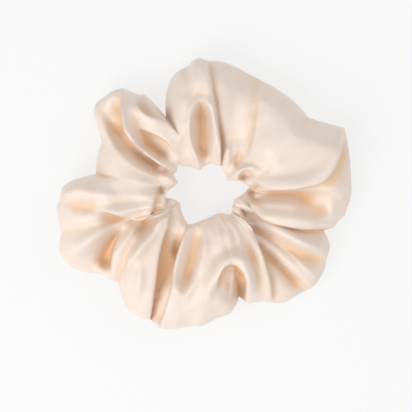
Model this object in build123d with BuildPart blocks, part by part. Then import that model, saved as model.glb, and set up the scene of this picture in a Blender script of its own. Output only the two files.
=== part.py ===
from build123d import *

import os
from math import asin, cos, degrees, radians, sin

# Satin scrunchie: a strip of satin sewn into a tube, gathered over a ring of flat braided elastic and
# closed on itself. It lies flat with the ring's axis upright. Millimetres, +Z up. Everything is drawn
# round the ring's axis, with the table at z = 0, and is moved at the end so that the sleeve's box is
# centred over the origin.

# Sleeve: the tube of satin, lying gathered. Radii are from the ring's axis.
hole_radius = 11.3  # where the gathers close in on the hair
crown_radius = 29.0  # the highest and the lowest line of the tube
mid_height = 15.0  # level of the tube's inner and outer edge
wall = 0.8  # gathered satin, which lies in two or three plies almost everywhere
gather_wall = 3.2  # satin bunched between the hole and the elastic
foot_flat = 0.5  # how deep the underside presses flat on the table
underside_slack = 4.5  # how much deeper the underside hangs than the crown rises, above the table

# The puffs of satin, each from one crease to the next. Each station is its angle in degrees, the
# sleeve's outer radius, and the rise of the crown over mid_height.
puffs = [
    [(-19, 47, 10.5), (-8, 52, 14), (6, 55, 14.5), (25, 57, 15), (38, 48.5, 16), (51, 47, 15), (64, 46.5, 12)],
    [(64, 46.5, 12), (78, 48.5, 15.5), (93, 51, 17), (103, 47, 15.5), (112, 41, 13), (120, 33, 9.5)],
    [(120, 33, 9.5), (130, 50, 13.5), (140, 55, 15.5), (149, 52, 14), (158, 45.5, 9)],
    [(158, 45.5, 9), (168, 43.5, 13), (176, 51.5, 15), (186, 58.5, 15), (195, 58.5, 12.5)],
    [(195, 58.5, 12.5), (203, 61.5, 14), (213, 56, 13.5), (226, 49, 10)],
    [(226, 49, 10), (238, 54, 13.5), (248, 55, 15), (259, 51.5, 15.5), (271, 49.5, 15), (286, 42, 10)],
    [(286, 42, 10), (299, 49, 14), (310, 52.5, 15), (321, 54, 15), (332, 52.5, 13.5), (341, 47, 10.5)],
]
closing_station = puffs[2][-1]  # the crease that hides the seam which closes the ring

# Lengthwise seam: both raw edges turned in, standing as a fin on the floor of the tube.
fin_height = 6.0
fin_thickness = 0.7
seam_level = 2.8  # height of the seam line over the table

# Braided elastic: a flat band whose ends lie one on the other and are tacked together.
band_width = 6.0
band_thickness = 1.2
band_radius = 19.2  # middle of the band
band_level = 11.0  # middle of the band's width over the table: it hangs low in the tube
lap_angle = 44.0  # how far the outer end lies over the inner end
ramp_start = 300.0  # where the band begins to climb over its own start
lap_gap = 0.06
strand_size = 0.5  # square rubber thread
strand_count = 6
strand_pitch = 0.9

# Sewing thread
thread_radius = 0.12
stitch_corner = 0.2
stitch_share = 0.78  # how much of each stitch's pitch shows as thread
long_stitches = 54
closing_stitches = 36
tack_stitches = 9
tack_width = 3.6  # from edge to edge of the zigzag
tack_margin = 7.0  # degrees of lap left free at each end of the zigzag
tack_gap = 0.6  # degrees from a stitch's end to the point of the zigzag


def on_ring(radius, angle, height):
    """The point at that radius, angle in degrees, and height."""
    return Vector(radius * cos(radians(angle)), radius * sin(radians(angle)), height)


def radial_plane(angle):
    """Upright plane through the ring's axis: its x points outwards and its y up."""
    return Plane(origin=(0, 0, 0), x_dir=on_ring(1, angle, 0), z_dir=on_ring(1, angle - 90, 0))


def tube_reaches(station, inset, inner_inset):
    """Half axes of the tube's section: outwards, inwards, up, down. inner_inset is for the hole's side."""
    outer_radius, crown = station[1:]
    inwards = crown_radius - hole_radius - inner_inset
    downwards = min(mid_height + foot_flat, crown + underside_slack)
    return outer_radius - crown_radius - inset, inwards, crown - inset, downwards - inset


def outer_outline(station):
    """Four quarter ellipses that make the outside of the tube."""
    outwards, inwards, up, down = tube_reaches(station, 0, 0)
    centre = (crown_radius, mid_height)
    EllipticalCenterArc(centre, outwards, up, 0, arc_size=90)
    EllipticalCenterArc(centre, inwards, up, 90, arc_size=90)
    EllipticalCenterArc(centre, inwards, down, 180, arc_size=90)
    EllipticalCenterArc(centre, outwards, down, 270, arc_size=90)


def cavity_outline(station):
    """The inside of the tube, where the fin stands up from the middle of the floor."""
    outwards, inwards, up, down = tube_reaches(station, wall, gather_wall)
    centre = (crown_radius, mid_height)
    half_fin = fin_thickness / 2
    inner_turn = degrees(asin(half_fin / inwards))
    outer_turn = degrees(asin(half_fin / outwards))
    fin_top = mid_height - down + fin_height
    EllipticalCenterArc(centre, outwards, up, 0, arc_size=90)
    EllipticalCenterArc(centre, inwards, up, 90, arc_size=90)
    inner_floor = EllipticalCenterArc(centre, inwards, down, 180, arc_size=90 - inner_turn)
    outer_floor = EllipticalCenterArc(centre, outwards, down, 270 + outer_turn, arc_size=90 - outer_turn)
    fin_corners = [(crown_radius - half_fin, fin_top), (crown_radius + half_fin, fin_top)]
    Polyline(inner_floor @ 1, *fin_corners, outer_floor @ 0)


def loft_puffs(outline, mode):
    """Lofts each puff through its sections, and joins it to the part or cuts it away."""
    for stations in puffs:
        sections = []
        for station in stations:
            with BuildSketch(radial_plane(station[0])) as section:
                with BuildLine():
                    outline(station)
                make_face()
            sections.append(section.sketch)
        loft(sections, mode=mode)


def band_outline(half_thickness):
    """Seen from above: once round the ring, up a ramp, and over its own start by lap_angle, cut square."""
    lap_radius = band_radius + band_thickness + lap_gap
    for side in (-half_thickness, half_thickness):
        ramp_foot = on_ring(band_radius + side, ramp_start, 0)
        ramp_way = on_ring(1, ramp_start + 90, 0)
        CenterArc((0, 0), band_radius + side, 0, ramp_start)
        Spline(ramp_foot, (lap_radius + side, 0), tangents=(ramp_way, (0, 1)))
        CenterArc((0, 0), lap_radius + side, 0, lap_angle)
    inner_corner = on_ring(lap_radius - half_thickness, lap_angle, 0)
    outer_corner = on_ring(lap_radius + half_thickness, lap_angle, 0)
    Line((band_radius - half_thickness, 0), (band_radius + half_thickness, 0))
    Line(inner_corner, outer_corner)


def stitch(start, end, into, depth):
    """One visible stitch: a bridge from start to end, whose two legs sink into the cloth along into."""
    sink = into.normalized() * depth
    with BuildLine() as path:
        FilletPolyline(start + sink, start, end, end + sink, radius=stitch_corner)
    with BuildSketch(Plane(origin=path.line @ 0, z_dir=path.line % 0)) as section:
        Circle(thread_radius)
    sweep(section.sketch, path=path.line)


def tack_seam(radius, into, depth):
    """The zigzag on one face of the lap: into is 1 where its legs run outwards and -1 where inwards."""
    step = (lap_angle - 2 * tack_margin) / tack_stitches
    for n in range(tack_stitches):
        side = tack_width / 2 * (-1) ** n
        angle = tack_margin + n * step
        foot = on_ring(radius, angle + tack_gap, band_level - side)
        head = on_ring(radius, angle + step - tack_gap, band_level + side)
        stitch(foot, head, on_ring(into, angle + step / 2, 0), depth)


def long_seam(side):
    """Stitches all round one side of the fin: side is 1 for its outer face and -1 for its inner one."""
    radius = crown_radius + side * (fin_thickness / 2 + thread_radius)
    step = 360 / long_stitches
    for n in range(long_stitches):
        middle = (n + 0.5) * step
        half = step * stitch_share / 2
        start = on_ring(radius, middle - half, seam_level)
        end = on_ring(radius, middle + half, seam_level)
        stitch(start, end, on_ring(-side, middle, 0), fin_thickness / 2)


def closing_seam(inset, inner_inset, side):
    """Stitches round the tube at the closing crease: side is 1 outside the wall and -1 inside it."""
    outwards, inwards, up, down = tube_reaches(closing_station, inset, inner_inset)
    plane = radial_plane(closing_station[0])
    step = 360 / closing_stitches

    def round_tube(turn):
        """The point at turn degrees round the tube, clear of the cloth, and the way out there."""
        reach = inwards if 90 < turn < 270 else outwards
        rise = up if turn < 180 else down
        across, along = cos(radians(turn)), sin(radians(turn))
        out = Vector(across / reach, along / rise).normalized()
        skin = Vector(crown_radius + reach * across, mid_height + rise * along)
        point = skin + out * side * thread_radius
        return plane.from_local_coords(point), plane.from_local_coords(out)

    for n in range(closing_stitches):
        middle = (n + 0.5) * step
        half = step * stitch_share / 2
        start = round_tube(middle - half)[0]
        end = round_tube(middle + half)[0]
        stitch(start, end, round_tube(middle)[1] * -side, wall / 2)


# Satin sleeve: puffs of cloth round an empty tube, pressed flat where they rest on the table.
with BuildPart() as satin_sleeve:
    loft_puffs(outer_outline, Mode.ADD)
    loft_puffs(cavity_outline, Mode.SUBTRACT)
    with BuildSketch(Plane.XY):
        Circle(3 * crown_radius)
    extrude(amount=-2 * foot_flat, mode=Mode.SUBTRACT)

# Rubber strands: square threads that run the whole length of the band.
with BuildPart() as rubber_strands:
    for n in range(strand_count):
        with BuildSketch(Plane.XY.offset(band_level + (n - (strand_count - 1) / 2) * strand_pitch)):
            with BuildLine():
                band_outline(strand_size / 2)
            make_face()
        extrude(amount=strand_size / 2, both=True)

# Elastic braid: the yarn that is braided round the strands.
with BuildPart() as elastic_braid:
    with BuildSketch(Plane.XY.offset(band_level)):
        with BuildLine():
            band_outline(band_thickness / 2)
        make_face()
    extrude(amount=band_width / 2, both=True)
    add(rubber_strands.part, mode=Mode.SUBTRACT)

# Bar tack: a zigzag through both ends of the band. Its two threads stop short of each other.
with BuildPart() as bar_tack_needle_thread:
    tack_seam(band_radius + 1.5 * band_thickness + lap_gap + thread_radius, -1, 1.1 * band_thickness)

with BuildPart() as bar_tack_bobbin_thread:
    tack_seam(band_radius - 0.5 * band_thickness - thread_radius, 1, band_thickness)

# Lengthwise seam: the needle thread shows on the fin's outer side and the bobbin thread on its inner side.
with BuildPart() as long_seam_needle_thread:
    long_seam(1)

with BuildPart() as long_seam_bobbin_thread:
    long_seam(-1)

# Closing seam: once round the tube, through the lapped ends of the sleeve.
with BuildPart() as closing_seam_needle_thread:
    closing_seam(0, 0, 1)

with BuildPart() as closing_seam_bobbin_thread:
    closing_seam(wall, gather_wall, -1)

pieces = {
    "satin_sleeve": satin_sleeve,
    "rubber_strands": rubber_strands,
    "elastic_braid": elastic_braid,
    "bar_tack_needle_thread": bar_tack_needle_thread,
    "bar_tack_bobbin_thread": bar_tack_bobbin_thread,
    "long_seam_needle_thread": long_seam_needle_thread,
    "long_seam_bobbin_thread": long_seam_bobbin_thread,
    "closing_seam_needle_thread": closing_seam_needle_thread,
    "closing_seam_bobbin_thread": closing_seam_bobbin_thread,
}

box = satin_sleeve.part.bounding_box()
to_origin = Location((-box.center().X, -box.center().Y, 0))
os.makedirs("parts", exist_ok=True)
for name, piece in pieces.items():
    placed = piece.part.moved(to_origin)
    placed.label = name
    export_step(placed, f"parts/{name}.step")
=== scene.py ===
from math import pi

import bpy
import numpy as np
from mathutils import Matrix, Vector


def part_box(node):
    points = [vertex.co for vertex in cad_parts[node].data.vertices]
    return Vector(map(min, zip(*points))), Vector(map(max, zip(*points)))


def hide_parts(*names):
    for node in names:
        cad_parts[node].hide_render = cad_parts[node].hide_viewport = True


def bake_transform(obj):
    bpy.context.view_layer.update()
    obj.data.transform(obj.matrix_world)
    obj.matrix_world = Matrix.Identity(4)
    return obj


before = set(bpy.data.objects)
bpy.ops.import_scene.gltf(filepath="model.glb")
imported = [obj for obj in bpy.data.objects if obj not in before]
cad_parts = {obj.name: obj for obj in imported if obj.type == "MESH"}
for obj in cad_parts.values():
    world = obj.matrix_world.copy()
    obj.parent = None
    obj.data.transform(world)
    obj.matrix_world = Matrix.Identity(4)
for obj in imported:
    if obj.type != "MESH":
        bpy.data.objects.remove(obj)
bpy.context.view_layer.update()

MM = 0.001

# Places that the frame gives
seam_low, seam_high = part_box("long_seam_needle_thread")
ring_axis = (np.array(seam_low) + np.array(seam_high)) / 2 / MM
band_low, band_high = (np.array(corner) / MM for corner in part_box("elastic_braid"))
band_bottom, band_top = band_low[2], band_high[2]
band_level = (band_bottom + band_top) / 2
band_width = band_top - band_bottom
band_thickness = 1.2
band_outer = ring_axis[0] - band_low[0]
band_inner = band_outer - band_thickness
band_radius = band_outer - band_thickness / 2

# Sleeve, in millimetres and degrees round the ring's axis
columns = 480  # places round the ring
rows = 90  # places round the tube
top_density = 1.7  # how much closer together the rows are on the top than underneath
near_radius = 20.0
mean_tops = (20.5, 23.0, 21.0)  # usual height of the top near the hole, in the middle and far out
middle_share = 0.33  # how far the middle station lies from near_radius to the rim
far_share = 0.75
hole_level = 12.0
shoulder_share = 0.86  # how high the cloth has risen halfway from the hole to near_radius
shoulder_inset = 1.5
far_turn = 0.65  # how far the far station has turned from the middle's angle to the rim's
rim_share = 0.42  # the rim's level as a share of the far top's height, and what is added to it
rim_rise = 1.5
far_rise = 0.8  # how much higher than the middle's the underside is far out
near_rise = 2.5  # and beside the elastic
near_inset = 1.0
lying_top = 26.0  # under a top that is at least this high, the underside lies on the table
valley_lift = 0.25  # how far it lifts for each millimetre that the top is lower
highest_lift = 6.0
table_gap = 0.3
crease_share = 0.25  # how far the heights of the main folds follow a crease rather than a smooth step
base_relief = 0.6  # how much of the main folds' relief is left on the top, where the small folds take over
pleats = 38  # gathers on the hole's wall and under the sleeve
pleat_depth = 3.8
least_pleat = 0.2
band_room = 0.8  # left free between the pleats and the elastic
cloth_thickness = 0.25
fin_depth = 5.0  # turned-in edges of the long seam
half_fin = 0.25  # from its middle to each of its two plies
fin_rings = 4
seam_radius = 29.0
underside_row = rows * 7 // 10  # where the section has turned under the sleeve
step_share = 0.7  # how far the cloth rises and falls at a step, as a share of its height
step_half_width = 0.8
overhang = 1.5  # how far the upper edge of a high step leans out over its foot
overhang_width = 2.2
high_step = 7.0
fold_fade = 7.0  # how far in from its ends a long small fold reaches its full height
fade_share = 0.4  # and a short one, as a share of its length
band_clearance = 0.6  # between the elastic and the cloth that lies over and under it
shallow_fold = 0.15  # how deep a fold is before painted warm shade starts in its colour
cloth_bending = 6.0
cloth_ease = 0.02  # how much longer the cloth is than the shape it starts from
settling_frames = 14
settling_cap = 3.0  # furthest that a point may settle
hold_radius = 28.0  # inside this radius the cloth is held, and more firmly further in
hold_fade = 12.0
least_hold, most_hold = 0.1, 0.9
lying_level = 2.0  # cloth that is lower than this is held by the table
cloth_length = 0.445  # metres
cloth_width = 0.110

# Elastic and thread
lap_angle = 44.0  # how far the elastic's outer end lies over its inner end
ramp_start = 300.0  # where it begins to climb over its own start
lap_gap = 0.06
strand_size = 0.5
strand_count = 6
strand_pitch = 0.9
plait_length = 1.3  # of one yarn's turn in the braid, along it
plait_width = 0.75  # and across it
plait_relief = 0.09
tack_stitches = 9
tack_width = 3.6
tack_margin = 7.0
tack_gap = 0.6
closing_angle = 158.0
thread_radius = 0.12
stitch_sink = 0.35
stitch_columns = 3  # one stitch of the long seam is this long, and one of the closing seam stitch_rows
stitch_rows = 2

# The folds of the sleeve, anticlockwise: a ridge "R" or a valley "V", then its angle at the hole, near,
# middle and rim, the radius of the hole and of the rim there, and the height of its top near, in the middle
# and far out.
folds = [
    ("V", 10, -3, -1, -4, 17.0, 55.0, 15.5, 14.0, 18.0),
    ("R", 22, 5, 3, 3, 12.5, 55.5, 23.0, 27.0, 26.0),
    ("V", 27, 16, 13, 25, 10.0, 58.5, 24.0, 28.5, 26.0),
    ("R", 31, 30, 34, 38.5, 9.0, 48.6, 23.0, 30.0, 25.0),
    ("R", 44, 50, 60, 66, 9.5, 47.9, 18.0, 21.0, 20.0),
    ("R", 58, 68, 79, 87, 10.5, 51.0, 21.0, 26.0, 25.0),
    ("V", 62, 74, 84, 91, 12.0, 51.5, 17.0, 22.0, 23.0),
    ("R", 67, 80, 88.5, 94, 11.0, 52.0, 22.0, 27.0, 26.0),
    ("V", 84, 94, 94.5, 97, 11.5, 51.0, 19.0, 21.5, 25.0),
    ("R", 112, 106, 101, 101.5, 9.3, 48.8, 23.0, 26.0, 22.0),
    ("V", 133, 122, 117, 119.5, 14.0, 33.5, 20.0, 22.0, 13.0),
    ("R", 137, 131, 127, 124.5, 16.0, 46.0, 20.0, 22.0, 21.0),
    ("V", 141, 141, 139, 130, 16.0, 52.5, 17.0, 17.0, 22.0),
    ("R", 146, 150, 148, 136, 15.0, 54.5, 18.5, 23.0, 25.0),
    ("R", 153, 156.5, 152, 142, 15.5, 55.7, 17.0, 15.0, 17.0),
    ("R", 163, 165, 163, 156, 12.5, 45.8, 19.0, 21.0, 22.0),
    ("V", 172, 173, 172, 171, 14.0, 44.6, 20.0, 23.5, 21.0),
    ("R", 178, 183, 182, 180, 16.0, 57.5, 22.0, 25.0, 24.0),
    ("V", 181, 188, 187, 186, 17.0, 59.5, 21.5, 23.5, 22.0),
    ("R", 184, 194, 192, 191, 17.5, 59.3, 22.0, 25.0, 24.0),
    ("V", 188, 200, 197.5, 196, 17.0, 59.5, 17.0, 18.0, 21.0),
    ("R", 189.5, 201.5, 200, 203, 15.5, 62.5, 17.5, 20.5, 23.0),
    ("V", 191, 203, 202.5, 214, 14.5, 56.0, 17.0, 17.0, 9.0),
    ("R", 193, 204.5, 206, 220, 13.6, 51.5, 18.0, 20.0, 18.0),
    ("V", 195, 206, 209, 225, 13.0, 49.5, 17.5, 18.0, 15.0),
    ("R", 202, 211, 218, 238, 12.0, 55.5, 21.0, 23.5, 21.0),
    ("V", 238, 234, 240, 246, 15.0, 54.5, 18.5, 19.0, 18.0),
    ("R", 246, 244, 246, 250, 13.5, 56.0, 22.0, 25.0, 21.0),
    ("V", 257, 258, 257, 257, 11.5, 54.5, 19.5, 20.0, 22.0),
    ("R", 272, 272, 268, 265, 10.0, 52.0, 23.5, 26.5, 24.0),
    ("V", 281, 279, 275, 272, 9.5, 50.0, 22.5, 24.5, 22.0),
    ("R", 288, 286, 281, 278, 9.3, 48.5, 24.0, 27.5, 23.0),
    ("V", 296, 294, 290, 286.5, 9.5, 42.5, 24.0, 27.0, 13.0),
    ("R", 305, 303, 297, 291.5, 10.3, 46.5, 23.0, 26.0, 22.0),
    ("V", 312, 311, 305, 297.5, 12.0, 48.0, 19.0, 19.0, 17.0),
    ("R", 315, 314, 309.5, 307, 12.5, 52.5, 18.0, 21.0, 18.0),
    ("V", 317, 316.5, 313.5, 315, 12.5, 54.0, 18.0, 18.0, 12.0),
    ("R", 319, 318.5, 318, 319, 12.3, 55.0, 20.0, 23.5, 21.0),
    ("V", 322, 320.5, 323, 326.5, 12.0, 54.5, 18.0, 18.5, 16.0),
    ("R", 328, 325, 330, 333.5, 11.0, 52.5, 21.0, 24.0, 21.0),
    ("V", 335, 331, 336, 341.5, 11.0, 47.5, 18.5, 19.5, 16.0),
    ("R", 338, 335, 341, 346.5, 10.6, 51.5, 21.0, 22.5, 20.0),
    ("R", 345, 345, 349, 351, 10.8, 54.0, 19.0, 20.0, 18.0),
]

# Smaller folds of the top: what kind, how high or deep and how wide, then the line that each follows, as x
# and y from the ring's axis. A ridge is rounded, a valley comes to a point, and a step is one fold lying
# over the next: the cloth is high on the right of the line and low on its left.
small_folds = [
    # top lobe: a hollow like a spoon, the raised lip round it, and the crease and the ridge on its right
    ("valley", 6, 3.8, (-2, 10), (-2.7, 20), (-2.8, 36)),
    ("ridge", 3.2, 1.3, (-1.5, 9), (-5, 14), (-7.5, 21), (-7.4, 29), (-5.5, 34.5),
     (-2.5, 36), (0.5, 34), (1.8, 28), (1.8, 20), (1, 11)),
    ("step", 3.5, 2.5, (-1, 54), (1.5, 42), (3.5, 30), (5, 18), (5.5, 8)),
    ("ridge", 2, 1.3, (4.5, 10), (4, 18), (2.8, 28), (1, 38)),
    ("ridge", 2.5, 5, (-14, 40), (-10, 30), (-9, 20)),
    # shallow hollow between that ridge and the broad panel
    ("valley", 3, 5.5, (8, 15), (9.5, 28), (12, 50)),
    ("step", 2.2, 4, (15, 12), (17, 20), (18.5, 29), (20.5, 50)),
    # pinched folds at the hole, and the small loop with a pocket in it
    ("ridge", 2, 1.1, (8, 8), (7.5, 13), (8, 18), (10, 20)),
    ("valley", 4, 1.5, (11, 8), (11.5, 13), (13, 17)),
    ("ridge", 3, 1.0, (11.5, 6), (13, 9), (16.5, 9.5), (19.5, 8), (20.5, 5)),
    ("valley", 6.5, 1.7, (11.5, 4), (14.5, 6.5), (17.5, 7)),
    # broad panel: its rolled lower edge, which turns up to the corner of the rim
    ("step", 9, 3.5, (53, 22), (51.5, 15), (49, 8.5), (45, 3.5), (39, 2), (30, 0.8),
     (23, 1), (19, 3), (16, 6.5)),
    ("ridge", 2, 2.5, (52, 24), (50, 16), (46, 8), (38, 4), (28, 3), (21, 4.5)),
    # pit and concavity that the panel's edge hangs over
    ("valley", 7.5, 2.4, (16.5, 2.5), (18.3, -1), (20.5, -5)),
    ("valley", 5, 4, (32, -1), (40, -5), (49, -9)),
    # right-hand fold, with the pinched pleats at its root
    ("step", 6, 3, (47, -15), (39, -15), (30, -13.5), (22, -11.5), (17, -7), (14, -3)),
    ("ridge", 1.6, 1.0, (12.5, -1), (15, -6), (20, -10.5)),
    ("ridge", 1.6, 1.0, (15, 1), (17, -4), (21, -8)),
    ("valley", 3, 0.8, (14, -1), (16.5, -6), (21, -10)),
    ("valley", 3, 0.8, (11.5, -4), (15, -9), (20, -13)),
    # lower right: rays, each a bright ridge with a valley below it
    ("ridge", 2.5, 1.8, (20, -12), (29, -16), (37, -20.5), (47, -23)),
    ("valley", 3.5, 3, (14, -11), (22, -15.5), (30, -20.5), (38, -26), (47, -27)),
    ("step", 3, 3, (44, -37), (39, -31.5), (33, -25), (27, -20.5), (20, -18)),
    ("valley", 3.5, 3, (22, -21), (29, -29), (37, -39)),
    # edge of the lower lobe over the rays
    ("step", 6, 3.5, (8, -8), (12.5, -9.5), (16.4, -13), (19, -19), (22, -27), (24.5, -35), (25.5, -46)),
    ("ridge", 1.6, 1.4, (14, -13), (17, -19), (20, -28), (22.5, -37)),
    # curl: an arch round a hollow that opens at the rim, steep on its right
    ("ridge", 4, 2.2, (-0.5, -44), (1.5, -34), (4.5, -28), (10, -24.5), (15, -27.5), (17, -34), (16.5, -42)),
    ("valley", 5, 3.6, (7, -46), (8, -37), (10, -29)),
    ("valley", 8, 1.5, (12.6, -44), (13.4, -37), (12.8, -32), (9, -29.5)),
    ("step", 7, 2.5, (13.5, -46), (14.8, -39), (14.5, -32.5), (11, -28), (6.5, -28.5), (3.8, -33), (3, -40)),
    ("ridge", 2, 2.0, (4.5, -12), (4, -19), (2, -26)),
    ("ridge", 1.5, 1.5, (8, -13), (8, -19), (9, -23)),
    # lower lobe: a long dish and the raised edge round it
    ("valley", 4, 4, (-5, -12), (-6.5, -25), (-9.5, -38)),
    ("ridge", 3, 1.8, (-1, -14), (-1.5, -21), (-4, -29), (-7, -38), (-9.5, -41.5), (-12, -39), (-12.5, -32)),
    ("step", 6, 3.5, (-20, -56), (-17, -46), (-14.5, -38.5), (-13.5, -30), (-12, -23.5),
     (-10, -18), (-7.5, -12)),
    # long valley to the left of it, and the slit at its head
    ("valley", 4, 3.4, (-14, -14), (-16.5, -26), (-18.5, -38), (-22, -53)),
    ("valley", 6, 1.2, (-11.5, -16), (-12.6, -20.5), (-14, -27)),
    ("ridge", 2.5, 1.4, (-15, -32), (-17.5, -41), (-21, -52)),
    # forked fold
    ("step", 6, 3, (-15, -3), (-15, -11), (-17.5, -18), (-19.3, -26), (-20.2, -34),
     (-21.5, -43), (-23.5, -54)),
    ("ridge", 4, 2, (-17, -4), (-19, -10), (-21.5, -17), (-28, -23.5), (-33, -29)),
    ("valley", 5, 3, (-21, -9), (-25, -14), (-29, -18)),
    ("step", 5, 3, (-38, -34), (-38, -25), (-36, -18), (-33, -12)),
    ("ridge", 2, 2, (-26, -27), (-27, -36), (-28, -44)),
    # left puff: the flap that ends beside the hole, the ray below it, and a deep valley
    ("step", 9, 3.5, (-19.5, 3), (-21, -5), (-23, -10.5), (-29, -11), (-34.5, -9.5), (-40, -7.5), (-45, -7)),
    ("valley", 7, 2.6, (-33, -12), (-37, -17), (-40, -23), (-41, -33)),
    ("ridge", 3, 3, (-36, -11), (-41, -15), (-47, -20), (-55, -25)),
    ("valley", 2.5, 3, (-57, -4), (-48, -5.5), (-40, -8.5)),
    ("ridge", 2.5, 3, (-58, 0), (-47, -1), (-34, -2)),
    ("step", 3, 3, (-60, -3), (-55, 0.5), (-50, 2.5), (-44, 6)),
    # roll beside the hole, with a slit under it
    ("ridge", 3, 1.6, (-22, 8), (-17, 6.5), (-13, 4), (-12.5, 1), (-15, -1)),
    ("valley", 6, 1.2, (-18.5, 3), (-18.5, -2)),
    # upper left: the long groove, and the thin lip of the flap that hangs over it
    ("step", 9, 3.5, (-12, 9.5), (-15, 8.5), (-21, 12), (-28, 18), (-32.5, 23), (-34, 30), (-34, 41)),
    ("valley", 5, 3.5, (-37, 38), (-37, 28), (-32, 20)),
    ("valley", 4, 2, (-31, 19), (-22, 11), (-14, 6)),
    ("ridge", 2.5, 1.1, (-33, 38), (-33, 30), (-31.5, 24), (-27.5, 19), (-20.5, 13.5), (-14.5, 10)),
    # pocket behind the lip, and the flap's upper edge over it
    ("valley", 6, 2.6, (-29, 22), (-20.5, 16), (-13.5, 11.5)),
    ("step", 5, 3, (-11.5, 12), (-15, 19), (-22, 23), (-30, 25)),
    # back of that lobe, which lies lower
    ("step", 6, 4, (-29, 38), (-28, 34), (-25.5, 30.5), (-21, 28.5), (-15, 28)),
]


def between_folds():
    """Every value of the fold list at a fine, even spread of places from fold to fold, once round the ring.

    Angles and the hole's radius run straight from one fold to the next. The rim's radius runs along a
    quarter sine that is steep at a valley and level at a ridge, so that a ridge is round and a valley is
    a sharp crease. Between two folds of one kind it runs along a smooth step, and so do the heights
    everywhere, apart from their share of the crease.
    """
    per_fold = 24
    ridge = np.array([fold[0] == "R" for fold in folds])
    values = np.array([fold[1:] for fold in folds], float)
    following = np.roll(values, -1, axis=0)
    following[-1, :4] += 360
    share = np.arange(per_fold)[None, :] / per_fold
    next_ridge = np.roll(ridge, -1)
    smooth = share**2 * (3 - 2 * share)
    rising = np.sin(share * pi / 2)
    falling = 1 - np.sin((1 - share) * pi / 2)
    creased = np.where((ridge == next_ridge)[:, None], smooth, np.where(next_ridge[:, None], rising, falling))
    change = (following - values)[:, None, :]
    straight = values[:, None, :5] + share[..., None] * change[..., :5]
    rim = values[:, None, 5:6] + creased[..., None] * change[..., 5:6]
    soft = smooth + crease_share * (creased - smooth)
    heights = values[:, None, 6:] + soft[..., None] * change[..., 6:]
    return np.concatenate([straight, rim, heights], axis=2).reshape(-1, 9)


def section_points(at):
    """The nine points that the tube's section passes through at each place, from the hole over the top
    to the rim and back under it. The underside lies on the table below a ridge, and is lifted by a
    quarter of the depth of a valley."""
    hole, near, middle, rim, hole_radius, rim_radius = at.T[:6]
    near_top, middle_top, far_top = (
        level + base_relief * (top - level) for top, level in zip(at.T[6:], mean_tops)
    )
    middle_radius = near_radius + middle_share * (rim_radius - near_radius)
    far_radius = near_radius + far_share * (rim_radius - near_radius)
    far = middle + (rim - middle) * far_turn
    tops = (near_top, middle_top, far_top)
    lift = [np.clip(valley_lift * (lying_top - top), 0, highest_lift) for top in tops]
    stations = [
        (hole, hole_radius, np.full_like(hole, hole_level)),
        ((hole + near) / 2, (hole_radius + near_radius) / 2 - shoulder_inset, shoulder_share * near_top),
        (near, np.full_like(near, near_radius), near_top),
        (middle, middle_radius, middle_top),
        (far, far_radius, far_top),
        (rim, rim_radius, rim_share * far_top + rim_rise),
        (far, far_radius, lift[2] + far_rise),
        (middle, middle_radius, lift[1]),
        (near, np.full_like(near, near_radius - near_inset), np.minimum(lift[0] + near_rise, highest_lift)),
    ]
    angle, radius, height = (np.stack(part, axis=1) for part in zip(*stations))
    turn = np.radians(angle)
    return np.stack([radius * np.cos(turn), radius * np.sin(turn), height], axis=2)


def through_points(points, per_span):
    """A closed curve through the points of each section: in each span a cubic whose slope at a point is
    half the step from the point before it to the point after it."""
    t = (np.arange(per_span) / per_span)[None, None, :, None]
    before, here, after, beyond = (np.roll(points, shift, axis=1)[:, :, None, :] for shift in (1, 0, -1, -2))
    cubed = 3 * (here - after) + beyond - before
    squared = 2 * before - 5 * here + 4 * after - beyond
    curve = here + 0.5 * t * ((after - before) + t * (squared + t * cubed))
    return curve.reshape(len(points), -1, 3)


def even_steps(loops, count, steps=None):
    """Closed loops with count points each, evenly spaced along their length, or along the given steps."""
    closed = np.concatenate([loops, loops[:, :1]], axis=1)
    if steps is None:
        steps = np.linalg.norm(np.diff(closed, axis=1), axis=2)
    run = np.concatenate([np.zeros((len(steps), 1)), np.cumsum(steps, axis=1)], axis=1)
    run /= run[:, -1:]
    wanted = np.arange(count) / count
    place = (run[:, None, :] <= wanted[None, :, None]).sum(axis=2) - 1
    line = np.arange(len(loops))[:, None]
    start, end = run[line, place], run[line, place + 1]
    share = ((wanted[None, :] - start) / np.maximum(end - start, 1e-9))[..., None]
    return closed[line, place] * (1 - share) + closed[line, place + 1] * share


def gathered_grid():
    """The sleeve as columns x rows of points: the sections carried round the ring, with columns as far apart
    as the cloth between them is long, then the gathers. The rows are closer together on the top."""
    per_span, top_spans = 12, 5
    curves = through_points(section_points(between_folds()), per_span)
    steps = np.linalg.norm(np.roll(curves, -1, axis=1) - curves, axis=2)
    steps[:, : per_span * top_spans] *= top_density
    fine = even_steps(curves, rows, steps)
    round_ring = fine.transpose(1, 0, 2)
    gap = np.linalg.norm(np.roll(round_ring, -1, axis=1) - round_ring, axis=2).mean(axis=0)
    spread = even_steps(round_ring, columns, np.broadcast_to(gap, (rows, len(gap)))).transpose(1, 0, 2)
    return pleated(spread) + np.array([ring_axis[0], ring_axis[1], 0])


def clear_of_rests(grid):
    """The same cloth, kept off the elastic and above the table."""
    held = over_elastic(grid)
    held[..., 2] = above(held[..., 2], table_gap)
    return held


def above(height, least):
    """Heights eased up so that none is under least: unchanged well above it, and rounded off near it."""
    return least + 0.5 * ((height - least) + np.sqrt((height - least) ** 2 + 0.5))


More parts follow.
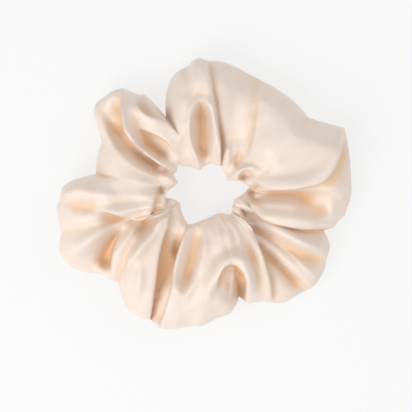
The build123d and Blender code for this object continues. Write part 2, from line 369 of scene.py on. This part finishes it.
def over_elastic(grid):
    """Keeps the cloth clear of the elastic: near it the top stays above the band, and the underside
    below it."""
    radius = np.linalg.norm(grid[..., :2] - ring_axis[:2], axis=2)
    beside = np.clip(2 - np.abs(radius - band_outer) / 1.6, 0, 1)
    facing = outward(grid)[..., 2]
    height = grid[..., 2]
    raised = above(height, band_top + band_clearance)
    lowered = -above(-height, -(band_bottom - band_clearance))
    held = np.where(facing > 0, raised, lowered)
    lifted = height + beside * np.clip(np.abs(facing) * 3, 0, 1) * (held - height)
    return np.concatenate([grid[..., :2], lifted[..., None]], axis=2)


def outward(grid):
    """The unit direction out of the tube at each point of the grid, from the steps to its neighbours
    both ways."""
    along = np.roll(grid, -1, axis=0) - np.roll(grid, 1, axis=0)
    round_tube = np.roll(grid, -1, axis=1) - np.roll(grid, 1, axis=1)
    return unit(np.cross(round_tube, along))


def pleated(grid):
    """Gathers on the hole's wall and on the underside: a wave round the ring, in and out along the
    tube's normal, whose pitch wanders by slow sines. It only goes into the tube, as far as the elastic
    leaves room, and it dies away towards the rim and where the wall turns over to the top."""
    turn = np.arange(len(grid)) / len(grid) * 2 * pi
    wave = np.sin(pleats * turn + 1.9 * np.sin(3 * turn + 0.7) + 1.2 * np.sin(7 * turn + 2.1))
    wave = (wave * (0.75 + 0.25 * np.sin(5 * turn + 1.3)))[:, None]
    radius = np.linalg.norm(grid[..., :2], axis=2)
    rim = radius.max(axis=1, keepdims=True)
    normal = outward(grid)
    share = np.clip((rim - radius) / (rim - near_radius), 0, 1) ** 0.7
    hidden = np.clip(0.1 - normal[..., 2] * 1.6, 0, 1)
    beside = np.clip((band_inner - band_room - radius) / 2, least_pleat, pleat_depth)
    room = np.where(radius < band_inner, beside, pleat_depth)
    return grid + normal * (room * share * hidden * (wave - 1))[..., None]


def line_distance(places, line):
    """How far each place is to the left of a line, or to the right if negative, how far its nearest
    point there is from the line's nearer end, as a share of the way in to where the fold is at its full
    height, and the direction to the left there."""
    line = rounded_line(np.array(line, float))
    start, run = line[:-1], np.diff(line, axis=0)
    length = np.linalg.norm(run, axis=1)
    offset = places[:, None, :] - start[None]
    share = np.clip((offset * run).sum(axis=2) / length**2, 0, 1)
    gap = np.linalg.norm(offset - share[..., None] * run, axis=2)
    nearest = gap.argmin(axis=1)
    pick = np.arange(len(places))
    before = np.concatenate([[0], np.cumsum(length)])[nearest]
    turn = run[nearest, 0] * offset[pick, nearest, 1] - run[nearest, 1] * offset[pick, nearest, 0]
    along = before + share[pick, nearest] * length[nearest]
    whole = length.sum()
    inset = np.clip(np.minimum(along, whole - along) / min(fold_fade, fade_share * whole), 0, 1)
    left = np.stack([-run[:, 1], run[:, 0]], axis=1) / length[:, None]
    return gap[pick, nearest] * np.sign(turn), inset, left[nearest]


def rounded_line(line):
    """The same line with its corners cut twice, each time at a quarter and three quarters of every run."""
    for _ in range(2):
        quarter, three_quarters = 0.75 * line[:-1] + 0.25 * line[1:], 0.25 * line[:-1] + 0.75 * line[1:]
        middle = np.stack([quarter, three_quarters], axis=1).reshape(-1, 2)
        line = np.concatenate([line[:1], middle, line[-1:]])
    return line


def press_folds(grid):
    """Raises or lowers the top along each small fold, by a curve of the distance from its line: a bell
    for a ridge, a pointed dip for a valley, and for a step a sharp fall from the right of the line to
    its left, which fades away on both sides and whose upper edge leans out over its foot. Every fold
    fades in and out at its ends."""
    flat = grid.reshape(-1, 3)
    facing_up = np.clip(outward(grid)[..., 2].ravel() * 2, 0, 1)
    move = np.zeros(flat.shape)
    for kind, height, width, *line in small_folds:
        to_left, inset, left = line_distance(flat[:, :2] - ring_axis[:2], line)
        share = inset**2 * (3 - 2 * inset)
        gap = np.abs(to_left) / (width * (0.35 + 0.65 * share))
        if kind == "ridge":
            profile = np.exp(-(gap**2))
        elif kind == "valley":
            profile = -np.exp(-(gap**1.7))
        else:
            side = np.tanh(to_left / step_half_width)
            profile = -step_share * side * np.exp(-gap)
            lean = -overhang * min(1, height / high_step) * side * np.exp(-((to_left / overhang_width) ** 2))
            move[:, :2] += (lean * share)[:, None] * left
        move[:, 2] += height * profile * share
    return grid + softened((facing_up[:, None] * move).reshape(grid.shape), 1)


def softened(values, times):
    """Values on the closed grid, each mixed with its neighbours both ways, a number of times."""
    for _ in range(times):
        for axis in (0, 1):
            values = (np.roll(values, 1, axis=axis) + 2 * values + np.roll(values, -1, axis=axis)) / 4
    return values


def grid_faces(across, along, open_across=False, open_along=False):
    """Four-sided faces of an across x along grid, which closes on itself each way that isn't open."""
    i, j = np.meshgrid(np.arange(across - open_across), np.arange(along - open_along), indexing="ij")
    right, up = (i + 1) % across, (j + 1) % along
    corners = [i * along + j, i * along + up, right * along + up, right * along + j]
    return np.stack(corners, axis=2).reshape(-1, 4)


def mesh_piece(name, points, faces):
    """A smooth mesh object from points in millimetres."""
    mesh = bpy.data.meshes.new(name)
    mesh.from_pydata((points.reshape(-1, 3) * MM).tolist(), [], faces.tolist())
    mesh.polygons.foreach_set("use_smooth", np.full(len(mesh.polygons), True))
    mesh.update()
    piece = bpy.data.objects.new(name, mesh)
    bpy.context.scene.collection.objects.link(piece)
    return piece


def vertex_places(piece):
    """The evaluated places of a piece's vertices, in metres."""
    shown = piece.evaluated_get(bpy.context.evaluated_depsgraph_get())
    places = np.zeros(len(shown.data.vertices) * 3)
    shown.data.vertices.foreach_get("co", places)
    return places.reshape(-1, 3)


def settled(grid):
    """Lets the sleeve settle as cloth. Every second point both ways makes a coarser sleeve, which is
    simulated for a few frames, held most firmly at the hole and on the table, and the way that each of
    its points has moved, capped, is spread back over the full grid."""
    coarse = grid[::2, ::2]
    piece = mesh_piece("settling_cloth", coarse, grid_faces(*coarse.shape[:2]))
    rest = vertex_places(piece)
    radius = np.linalg.norm(coarse[..., :2] - ring_axis[:2], axis=2).ravel()
    hold = np.round(np.clip((hold_radius - radius) / hold_fade, least_hold, most_hold), 1)
    hold[coarse[..., 2].ravel() < lying_level] = most_hold
    group = piece.vertex_groups.new(name="held")
    for share in np.unique(hold):
        group.add(np.nonzero(hold == share)[0].tolist(), float(share), "REPLACE")
    cloth = piece.modifiers.new("satin", "CLOTH")
    settings = cloth.settings
    settings.quality = 5
    settings.mass = 0.02
    settings.tension_stiffness = 25
    settings.compression_stiffness = 25
    settings.shear_stiffness = 6
    settings.bending_stiffness = cloth_bending
    settings.bending_damping = 0.5
    settings.vertex_group_mass = "held"
    settings.pin_stiffness = 2
    settings.shrink_min = -cloth_ease
    settings.use_pressure = True
    settings.uniform_pressure_force = 0.6
    settings.effector_weights.gravity = 0
    cloth.collision_settings.use_self_collision = False
    cloth.collision_settings.use_collision = False
    cloth.point_cache.frame_start = 1
    cloth.point_cache.frame_end = settling_frames
    for number in range(1, settling_frames + 1):
        bpy.context.scene.frame_set(number)
    move = (vertex_places(piece) - rest) / MM
    bpy.context.scene.frame_set(1)
    bpy.data.objects.remove(piece)
    far = np.linalg.norm(move, axis=1, keepdims=True)
    move = (move * np.minimum(1, settling_cap / np.maximum(far, 1e-9))).reshape(coarse.shape)
    move = np.repeat(np.repeat(move, 2, axis=0), 2, axis=1)
    for axis in (0, 1):
        move = (move + np.roll(move, -1, axis=axis)) / 2
    return grid + move


def new_group(name, inputs, outputs):
    """An empty shader node group with the named sockets, each given as its name and kind."""
    group = bpy.data.node_groups.new(name, "ShaderNodeTree")
    for direction, sockets in (("INPUT", inputs), ("OUTPUT", outputs)):
        for socket, kind in sockets:
            group.interface.new_socket(socket, in_out=direction, socket_type="NodeSocket" + kind)
    return group, group.nodes.new("NodeGroupInput"), group.nodes.new("NodeGroupOutput")


def add_math(tree, operation, first, second):
    """A Math node of two values, each a number or an output."""
    node = tree.nodes.new("ShaderNodeMath")
    node.operation = operation
    for socket, value in zip(node.inputs, (first, second)):
        if isinstance(value, (int, float)):
            socket.default_value = value
        else:
            tree.links.new(value, socket)
    return node.outputs[0]


def add_noise(tree, vector, scale, detail):
    """A Noise Texture's value."""
    node = tree.nodes.new("ShaderNodeTexNoise")
    node.inputs["Scale"].default_value = scale
    node.inputs["Detail"].default_value = detail
    tree.links.new(vector, node.inputs["Vector"])
    return node.outputs["Fac"]


def stretched(tree, vector, scale):
    """The same coordinates stretched by scale."""
    node = tree.nodes.new("ShaderNodeMapping")
    node.inputs["Scale"].default_value = scale
    tree.links.new(vector, node.inputs["Vector"])
    return node.outputs["Vector"]


def weave_group():
    """Satin's long floats and its slubs, from coordinates along and across the cloth in metres: a
    height, and a mask that drifts slowly over the cloth."""
    given_sockets = [("Cloth", "Vector"), ("Thread Pitch", "Float")]
    group, given, out = new_group("satin_weave", given_sockets, [("Height", "Float"), ("Drift", "Float")])
    scaled = group.nodes.new("ShaderNodeVectorMath")
    scaled.operation = "SCALE"
    group.links.new(given.outputs["Cloth"], scaled.inputs[0])
    group.links.new(add_math(group, "DIVIDE", 1.0, given.outputs["Thread Pitch"]), scaled.inputs["Scale"])
    floats = add_noise(group, stretched(group, scaled.outputs[0], (0.12, 1.0, 1.0)), 1.0, 2)
    slubs = add_noise(group, stretched(group, scaled.outputs[0], (0.02, 0.35, 1.0)), 1.0, 1)
    ripple = add_noise(group, stretched(group, scaled.outputs[0], (0.05, 0.03, 1.0)), 1.0, 2)
    half_floats = add_math(group, "MULTIPLY", floats, 0.5)
    fine = add_math(group, "ADD", half_floats, add_math(group, "MULTIPLY", slubs, 0.5))
    group.links.new(fine, out.inputs["Height"])
    group.links.new(ripple, out.inputs["Drift"])
    return group


def add_mix(tree, amount, first, second):
    """A mix of two colours, each a colour or an output."""
    node = tree.nodes.new("ShaderNodeMix")
    node.data_type = "RGBA"
    tree.links.new(amount, node.inputs["Factor"])
    for socket, colour in zip((node.inputs[6], node.inputs[7]), (first, second)):
        if isinstance(colour, tuple):
            socket.default_value = colour
        else:
            tree.links.new(colour, socket)
    return node.outputs[2]


def add_range(tree, value, low, high, out_low, out_high):
    """A value moved from one range to another, and held inside it."""
    node = tree.nodes.new("ShaderNodeMapRange")
    for socket, number in zip(list(node.inputs)[1:5], (low, high, out_low, out_high)):
        socket.default_value = number
    tree.links.new(value, node.inputs[0])
    return node.outputs[0]


def satin_material(weave):
    """Champagne satin: pale ivory where a fold stands up, and painted warm gold shade down in the folds,
    standing in for light that reaches them by way of more of the same cloth, with the weave's fine floats and
    slubs."""
    material = bpy.data.materials.new("champagne_satin")
    material.use_nodes = True
    tree = material.node_tree
    shader = tree.nodes["Principled BSDF"]
    cloth = tree.nodes.new("ShaderNodeUVMap")
    cloth.uv_map = "cloth"
    woven = tree.nodes.new("ShaderNodeGroup")
    woven.node_tree = weave
    woven.inputs["Thread Pitch"].default_value = 0.0004
    tree.links.new(cloth.outputs["UV"], woven.inputs["Cloth"])
    depth = tree.nodes.new("ShaderNodeAttribute")
    depth.attribute_name = "painted_shade_depth"
    painted_fold_shade = add_range(tree, depth.outputs["Fac"], 0.0, 1.0, 0.0, 1.0)
    drift = add_range(tree, woven.outputs["Drift"], 0.35, 0.65, 0.0, 1.0)
    face = add_mix(tree, drift, (0.835, 0.715, 0.632, 1), (0.81, 0.68, 0.585, 1))
    # painted shade: the deeper a fold, the more the colour turns to a darker warm gold, standing in for shade
    # and for light bounced off the cloth
    colour = add_mix(tree, painted_fold_shade, face, (0.80, 0.53, 0.31, 1))
    tree.links.new(colour, shader.inputs["Base Color"])
    tree.links.new(add_range(tree, woven.outputs["Height"], 0.2, 0.8, 0.36, 0.46), shader.inputs["Roughness"])
    shader.inputs["Specular IOR Level"].default_value = 0.45
    shader.inputs["Anisotropic"].default_value = 0.6
    shader.inputs["Sheen Weight"].default_value = 0.25
    shader.inputs["Sheen Roughness"].default_value = 0.35
    shader.inputs["Sheen Tint"].default_value = (1.0, 0.93, 0.85, 1)
    bump = tree.nodes.new("ShaderNodeBump")
    bump.inputs["Strength"].default_value = 0.25
    bump.inputs["Distance"].default_value = 0.0002
    tree.links.new(woven.outputs["Height"], bump.inputs["Height"])
    tree.links.new(bump.outputs["Normal"], shader.inputs["Normal"])
    tangent = tree.nodes.new("ShaderNodeTangent")
    tangent.direction_type = "UV_MAP"
    tangent.uv_map = "cloth"
    tree.links.new(tangent.outputs["Tangent"], shader.inputs["Tangent"])
    return material


def fibre_group():
    """What fibres and rubber share, from a place in metres and the size of the grain in metres: a fine
    grain, and a mask that drifts over a few millimetres."""
    given_sockets = [("Place", "Vector"), ("Grain Size", "Float")]
    group, given, out = new_group("fibre_grain", given_sockets, [("Height", "Float"), ("Drift", "Float")])
    scaled = group.nodes.new("ShaderNodeVectorMath")
    scaled.operation = "SCALE"
    group.links.new(given.outputs["Place"], scaled.inputs[0])
    group.links.new(add_math(group, "DIVIDE", 1.0, given.outputs["Grain Size"]), scaled.inputs["Scale"])
    group.links.new(add_noise(group, scaled.outputs[0], 1.0, 3), out.inputs["Height"])
    drift = add_noise(group, given.outputs["Place"], 250.0, 2)
    group.links.new(add_range(group, drift, 0.35, 0.65, 0.0, 1.0), out.inputs["Drift"])
    return group


def plain_fibre(name, light, dark, roughness, grain, relief, sheen):
    """A fibre or rubber finish: two close colours that drift into each other, and a fine grain, of the
    given size in millimetres, in its roughness and relief."""
    material = bpy.data.materials.new(name)
    material.use_nodes = True
    tree = material.node_tree
    shader = tree.nodes["Principled BSDF"]
    fibre = tree.nodes.new("ShaderNodeGroup")
    fibre.node_tree = fibres
    fibre.inputs["Grain Size"].default_value = grain * MM
    tree.links.new(tree.nodes.new("ShaderNodeTexCoord").outputs["Object"], fibre.inputs["Place"])
    colour = add_mix(tree, fibre.outputs["Drift"], (*light, 1), (*dark, 1))
    tree.links.new(colour, shader.inputs["Base Color"])
    fine = add_range(tree, fibre.outputs["Height"], 0.3, 0.7, roughness - 0.08, roughness + 0.08)
    tree.links.new(fine, shader.inputs["Roughness"])
    shader.inputs["Sheen Weight"].default_value = sheen
    bump = tree.nodes.new("ShaderNodeBump")
    bump.inputs["Strength"].default_value = 0.4
    bump.inputs["Distance"].default_value = relief * MM
    tree.links.new(fibre.outputs["Height"], bump.inputs["Height"])
    tree.links.new(bump.outputs["Normal"], shader.inputs["Normal"])
    return material


def painted_shade_depth(grid):
    """How far down in a fold each point of the grid lies, from 0 to 1: how far its neighbourhood, within a
    few millimetres, stands out of the cloth past it on average. The satin's colour takes painted warm shade
    from it."""
    normal = outward(grid)
    depth = np.zeros(grid.shape[:2])
    for reach, scale in ((4, 0.5), (10, 2.2)):
        mean = grid.copy()
        for _ in range(reach):
            mean = (np.roll(mean, 2, axis=0) + np.roll(mean, -2, axis=0) + 2 * mean) / 4
            mean = (np.roll(mean, 1, axis=1) + np.roll(mean, -1, axis=1) + 2 * mean) / 4
        depth += ((mean - grid) * normal).sum(axis=2) / scale
    return softened(np.clip(depth * 0.5 - shallow_fold, 0, 1), 4)


def lay_cloth(piece, across, along):
    """The piece's UV map "cloth", in metres along and across the flat strip, for the first across x
    along faces."""
    i, j = np.meshgrid(np.arange(across), np.arange(along), indexing="ij")
    corners = np.stack([i, j, i, j + 1, i + 1, j + 1, i + 1, j], axis=2).reshape(-1, 2)
    flat = corners / (across, along) * (cloth_length, cloth_width)
    places = np.zeros((len(piece.data.loops), 2))
    places[: len(flat)] = flat
    piece.data.uv_layers.new(name="cloth").data.foreach_set("uv", places.ravel())


def mark_depth(piece, depth):
    """The piece's attribute of painted fold shade: the given values, and 1 for the points after them."""
    values = np.ones(len(piece.data.vertices))
    values[: depth.size] = depth.ravel()
    piece.data.attributes.new("painted_shade_depth", "FLOAT", "POINT").data.foreach_set("value", values)


def look_down():
    """A long lens straight above the ring. The picture is as wide as view_width at the middle of the
    sleeve's height."""
    view_width, distance, level, aim = 0.1612, 1.2, 0.015, (0.0004, -0.0055)
    camera = bpy.data.objects.new("camera", bpy.data.cameras.new("camera"))
    bpy.context.scene.collection.objects.link(camera)
    camera.location = (*aim, distance)
    camera.data.lens = 36 * (distance - level) / view_width
    camera.data.clip_end = 10
    bpy.context.scene.camera = camera


def soft_light():
    """A pale room with two wide softboxes overhead."""
    world = bpy.data.worlds.new("studio")
    world.use_nodes = True
    background = world.node_tree.nodes["Background"]
    background.inputs["Color"].default_value = (1, 1, 1, 1)
    background.inputs["Strength"].default_value = 0.57
    bpy.context.scene.world = world
    softboxes = (("key", (-0.35, -0.35, 0.6), 0.6, 3.85), ("fill", (0.5, 0.3, 0.7), 0.6, 1.6))
    for name, place, size, power in softboxes:
        lamp = bpy.data.lights.new(name, "AREA")
        lamp.size = size
        lamp.energy = power
        light = bpy.data.objects.new(name, lamp)
        bpy.context.scene.collection.objects.link(light)
        light.location = place
        light.rotation_euler = light.location.to_track_quat("Z", "Y").to_euler()


def table_top():
    """A wide, plain, pale floor that glows a little, so that the shadow on it stays faint."""
    reach = 2000.0
    corners = np.array([[-reach, -reach, 0], [reach, -reach, 0], [reach, reach, 0], [-reach, reach, 0]])
    floor = mesh_piece("floor", corners, np.array([[0, 1, 2, 3]]))
    material = bpy.data.materials.new("pale_table")
    material.use_nodes = True
    shader = material.node_tree.nodes["Principled BSDF"]
    shader.inputs["Base Color"].default_value = (0.2, 0.2, 0.2, 1)
    shader.inputs["Roughness"].default_value = 1
    shader.inputs["Specular IOR Level"].default_value = 0
    shader.inputs["Emission Color"].default_value = (1, 1, 1, 1)
    shader.inputs["Emission Strength"].default_value = 0.73
    floor.data.materials.append(material)


def stand_fin(grid):
    """The turned-in edges of the long seam: two plies that stand up inside the tube along the middle of
    the underside."""
    steps = np.linspace(0.1, 1.0, fin_rings) * fin_depth
    foot = grid[:, seam_row]
    lengthwise = np.roll(foot, -1, axis=0) - np.roll(foot, 1, axis=0)
    upright = np.array([0, 0, 1])
    sideways = unit(np.cross(lengthwise, upright))
    line = foot[:, None] + upright * steps[None, :, None]
    return [line + (side * sideways)[:, None] for side in (-half_fin, half_fin)]


def unit(vectors):
    """The same vectors, one long."""
    return vectors / np.maximum(np.linalg.norm(vectors, axis=-1, keepdims=True), 1e-9)


def stitches(feet, heads, out, name):
    """A mesh of short threads from foot to head: each is a six-sided tube along a low arch over the
    cloth, whose ends sink into it against out."""
    sides = 6
    share = np.linspace(0, 1, sides)[None, :, None]
    arch = stitch_sink * (1 - (2 * share - 1) ** 4) - stitch_sink
    path = feet[:, None] * (1 - share) + heads[:, None] * share + out[:, None] * (arch + thread_radius)
    along = unit(np.gradient(path, axis=1))
    side = unit(np.cross(along, out[:, None]))
    up = np.cross(side, along)
    turn = np.arange(sides) / sides * 2 * pi
    ring = np.cos(turn)[:, None] * up[:, :, None] + np.sin(turn)[:, None] * side[:, :, None]
    points = path[:, :, None] + thread_radius * ring
    wall = grid_faces(sides, sides, open_across=True)
    ends = np.array([[0, 3, 2, 1], [0, 5, 4, 3], [30, 31, 32, 33], [30, 33, 34, 35]])
    one = np.concatenate([wall, ends])
    faces = one[None] + sides * sides * np.arange(len(feet))[:, None, None]
    return mesh_piece(name, points, faces.reshape(-1, 4))


def band_line(count):
    """The elastic's middle line, seen from above, as count angles and radii: once round the ring, up a
    ramp over its own start, and on for the lap."""
    turn = np.linspace(0, 360 + lap_angle, count)
    climb = np.clip((turn - ramp_start) / (360 - ramp_start), 0, 1)
    return np.radians(turn), band_radius + (band_thickness + lap_gap) * climb**2 * (3 - 2 * climb)


def along_band(turn, radius, outwards, upwards):
    """Places beside the band's middle line, given how far outwards and upwards of it they are."""
    reach = radius[:, None] + outwards
    level = np.broadcast_to(band_level + upwards, reach.shape)
    x = ring_axis[0] + reach * np.cos(turn)[:, None]
    y = ring_axis[1] + reach * np.sin(turn)[:, None]
    return np.stack([x, y, level], axis=2)


def braid():
    """The yarn jacket of the elastic: a flat tube whose section is a superellipse, with plaited yarns in
    its surface. Their relief is a sine along the band whose phase zigzags across it, which makes rows of
    chevrons."""
    count, around = 600, 44
    turn, radius = band_line(count)
    way = np.arange(around) / around * 2 * pi
    across, out = np.cos(way), np.sin(way)
    width = band_width / 2 * np.sign(across) * np.abs(across) ** 0.35
    depth = band_thickness / 2 * np.sign(out) * np.abs(out) ** 0.5
    zigzag = np.abs((width / plait_width) % 2 - 1)
    run = (turn * band_radius)[:, None]
    relief = plait_relief * (np.abs(np.sin(pi * (run / plait_length + zigzag))) - 1)
    points = along_band(turn, radius, depth + relief * np.sign(out), width)
    return mesh_piece("braid", points, grid_faces(count, around, open_across=True))


def strands():
    """Six rubber threads inside the braid, each a rounded square carried along the band's line, with
    closed ends."""
    count, around = 240, 8
    turn, radius = band_line(count)
    way = (np.arange(around) + 0.5) / around * 2 * pi
    across = strand_size / 2 * np.sign(np.cos(way)) * np.abs(np.cos(way)) ** 0.5
    out = strand_size / 2 * np.sign(np.sin(way)) * np.abs(np.sin(way)) ** 0.5
    levels = (np.arange(strand_count) - (strand_count - 1) / 2) * strand_pitch
    points = np.stack([along_band(turn, radius, out, across + level) for level in levels])
    last = (count - 1) * around
    ends = [[0, 3, 2, 1], [0, 5, 4, 3], [0, 7, 6, 5]]
    ends += [[last + n for n in face[::-1]] for face in ends]
    one = np.concatenate([grid_faces(count, around, open_across=True), np.array(ends)])
    faces = one[None] + count * around * np.arange(strand_count)[:, None, None]
    return mesh_piece("strands", points, faces.reshape(-1, 4))


def tack(name, radius, side):
    """The zigzag through the lapped ends of the elastic: side is 1 on its outer face and -1 on its inner
    face."""
    step = (lap_angle - 2 * tack_margin) / tack_stitches
    number = np.arange(tack_stitches)
    reach = tack_width / 2 * (-1.0) ** number
    turns = np.radians([tack_margin + number * step + tack_gap, tack_margin + (number + 1) * step - tack_gap])
    centre = [*ring_axis[:2], band_level]
    foot, head = (
        np.stack([radius * np.cos(turn), radius * np.sin(turn), sign * reach], axis=1) + centre
        for turn, sign in zip(turns, (-1, 1))
    )
    middle = turns.mean(axis=0)
    out = side * np.stack([np.cos(middle), np.sin(middle), 0 * middle], axis=1)
    return stitches(foot, head, out, name)


def long_seam(name, side):
    """Stitches along one side of the fin, a little above the cloth that it stands on."""
    ply = fin[1] if side > 0 else fin[0]
    line = ply[:, 0] * 0.6 + ply[:, 1] * 0.4
    sideways = unit(fin[1][:, 1] - fin[0][:, 1])
    start = np.arange(0, columns, stitch_columns)
    feet, heads = line[start], line[(start + 2) % columns]
    face = cloth_thickness if side > 0 else 0
    out = side * sideways[start + 1]
    return stitches(feet + out * face, heads + out * face, out, name)


def closing_seam(name, side):
    """Stitches round the tube down the crease where the sleeve closes: side is 1 outside the cloth and
    -1 inside it."""
    angle = np.degrees(np.arctan2(*(grid[:, :, 1::-1] - ring_axis[1::-1]).mean(axis=1).T)) % 360
    column = int(np.argmin(np.abs(angle - closing_angle)))
    line = grid[column]
    out = side * outward(grid)[column]
    start = np.arange(0, rows, stitch_rows)
    offset = 0 if side > 0 else cloth_thickness
    heads = line[start] * 0.25 + line[(start + 1) % rows] * 0.75
    return stitches(line[start] + out[start] * offset, heads + out[start] * offset, out[start], name)


def finish_piece(piece, node, material):
    """Stands for its CAD node, which it hides, and takes its finish, with its place baked into its mesh."""
    piece.data.materials.append(material)
    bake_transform(piece)
    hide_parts(node)


bpy.context.scene.view_settings.view_transform = "Standard"
look_down()
soft_light()
table_top()

grid = gathered_grid()
grid = settled(grid)
grid = clear_of_rests(press_folds(grid))
underside_radius = np.linalg.norm(grid[:, underside_row:, :2] - ring_axis[:2], axis=2).mean(axis=0)
seam_row = underside_row + int(np.argmin(np.abs(underside_radius - seam_radius)))
fin = stand_fin(grid)
points = np.concatenate([grid.reshape(-1, 3)] + [ply.reshape(-1, 3) for ply in fin])
faces = [grid_faces(columns, rows)]
for number, ply in enumerate(fin):
    faces.append(grid_faces(columns, fin_rings, open_along=True) + columns * (rows + number * fin_rings))
sleeve = mesh_piece("sleeve", points, np.concatenate(faces))
wall = sleeve.modifiers.new("cloth", "SOLIDIFY")
wall.thickness = cloth_thickness * MM
wall.offset = -1
lay_cloth(sleeve, columns, rows)
# painted shade for the satin's folds, from how deep each point lies in one
mark_depth(sleeve, painted_shade_depth(grid))
finish_piece(sleeve, "satin_sleeve", satin_material(weave_group()))

fibres = fibre_group()
yarn = plain_fibre("elastic_yarn", (0.87, 0.84, 0.79), (0.80, 0.77, 0.71), 0.75, 0.12, 0.05, 0.4)
latex = plain_fibre("natural_rubber", (0.76, 0.68, 0.52), (0.66, 0.57, 0.41), 0.55, 0.3, 0.02, 0.0)
polyester = plain_fibre("sewing_thread", (0.84, 0.71, 0.60), (0.74, 0.60, 0.48), 0.5, 0.08, 0.03, 0.3)
white_thread = plain_fibre("tack_thread", (0.90, 0.89, 0.87), (0.82, 0.81, 0.79), 0.55, 0.08, 0.03, 0.3)
jacket = braid()
jacket_wall = jacket.modifiers.new("yarn", "SOLIDIFY")
jacket_wall.thickness = 0.2 * MM
jacket_wall.offset = -1
finish_piece(jacket, "elastic_braid", yarn)
finish_piece(strands(), "rubber_strands", latex)
lap_face = band_outer + band_thickness + lap_gap
tack_needle = tack("tack_needle_thread", lap_face, 1)
tack_bobbin = tack("tack_bobbin_thread", band_inner, -1)
finish_piece(tack_needle, "bar_tack_needle_thread", white_thread)
finish_piece(tack_bobbin, "bar_tack_bobbin_thread", white_thread)
for name, side in (("needle", 1), ("bobbin", -1)):
    long_thread = long_seam(f"long_{name}_thread", side)
    finish_piece(long_thread, f"long_seam_{name}_thread", polyester)
    closing_thread = closing_seam(f"closing_{name}_thread", side)
    finish_piece(closing_thread, f"closing_seam_{name}_thread", polyester)
